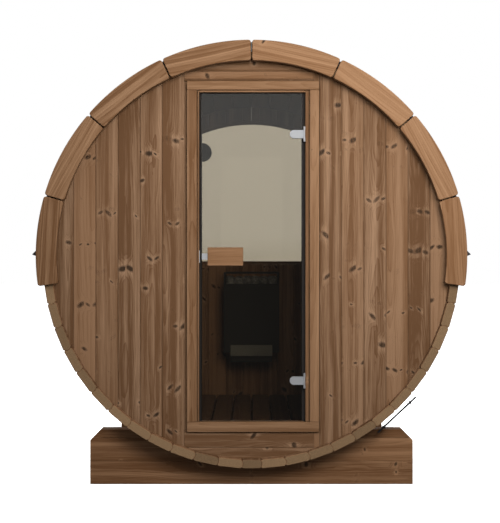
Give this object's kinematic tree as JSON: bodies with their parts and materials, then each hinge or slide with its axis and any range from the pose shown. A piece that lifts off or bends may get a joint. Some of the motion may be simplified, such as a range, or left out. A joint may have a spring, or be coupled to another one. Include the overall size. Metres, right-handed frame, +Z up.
{
  "type": "barrel sauna",
  "caption": "Round wooden sauna of lengthwise staves on two cradles, with a hinged glass door, a half-moon rear window, curved end boards and a wall heater inside.",
  "frame": {"origin": "on the ground under the barrel's axis, midway between the two ends", "axes": "+Z up, +X to the right seen from the door's side, and the door faces -Y"},
  "size_m": [2.092, 1.884, 2.1479],
  "materials": {
    "stave_wood": "heat-treated softwood, planed, brown, with knots",
    "trim_wood": "heat-treated softwood, planed, lighter orange brown",
    "cradle_wood": "heat-treated softwood, dark brown",
    "wall_wood": "heat-treated tongue-and-groove boards, brown, with dark knots",
    "frame_wood": "heat-treated softwood, planed, lighter orange brown",
    "handle_wood": "heat-treated softwood, planed and eased",
    "floor_wood": "heat-treated softwood slats",
    "tinted_glass": "clear bronze-tinted tempered glass",
    "stainless_steel": "satin stainless steel",
    "band_steel": "dull stainless steel",
    "black_plastic": "matt black",
    "black_steel": "matt black paint",
    "grey_steel": "dark grey paint",
    "heater_stone": "rough dark rock",
    "roof_felt": "black mineral-surfaced bitumen shingles"
  },
  "bodies": {
    "sauna": {"staves_bottom": "stave_wood", "staves_lower_left": "stave_wood", "staves_lower_right": "stave_wood", "staves_side_left": "stave_wood", "staves_side_right": "stave_wood", "staves_upper_left": "stave_wood", "staves_upper_right": "stave_wood", "staves_top": "stave_wood", "front_trim_left": "trim_wood", "front_trim_right": "trim_wood", "rear_trim": "trim_wood", "cradle_front": "cradle_wood", "cradle_rear": "cradle_wood", "front_wall_left": "wall_wood", "front_wall_right": "wall_wood", "front_wall_header": "wall_wood", "front_wall_sill": "wall_wood", "door_jamb_left": "frame_wood", "door_jamb_right": "frame_wood", "door_head": "frame_wood", "door_sill": "frame_wood", "door_casing": "frame_wood", "hinge_plates": "stainless_steel", "strike_plate": "stainless_steel", "rear_wall_lower": "wall_wood", "rear_wall_arch_left": "wall_wood", "rear_wall_arch_right": "wall_wood", "rear_window": "tinted_glass", "window_beads": "frame_wood", "vent_valve": "black_plastic", "floor_slats": "floor_wood", "floor_joists": "floor_wood", "heater_body": "black_steel", "heater_panel": "grey_steel", "heater_guard": "black_steel", "heater_stones": "heater_stone", "roof_left": "roof_felt", "roof_right": "roof_felt", "steel_bands": "band_steel", "tension_rods": "band_steel"},
    "door": {"door_glass": "tinted_glass", "door_handle_outside": "handle_wood", "door_handle_inside": "handle_wood", "hinge_clamps": "stainless_steel", "latch_plate": "stainless_steel"}
  },
  "joints": [
    {"name": "door_hinge", "type": "hinge", "parent": "sauna", "child": "door", "pos_m": [0.253, -0.877, 1.106], "axis": [0, 0, 1], "range_deg": [0, 110]}
  ]
}
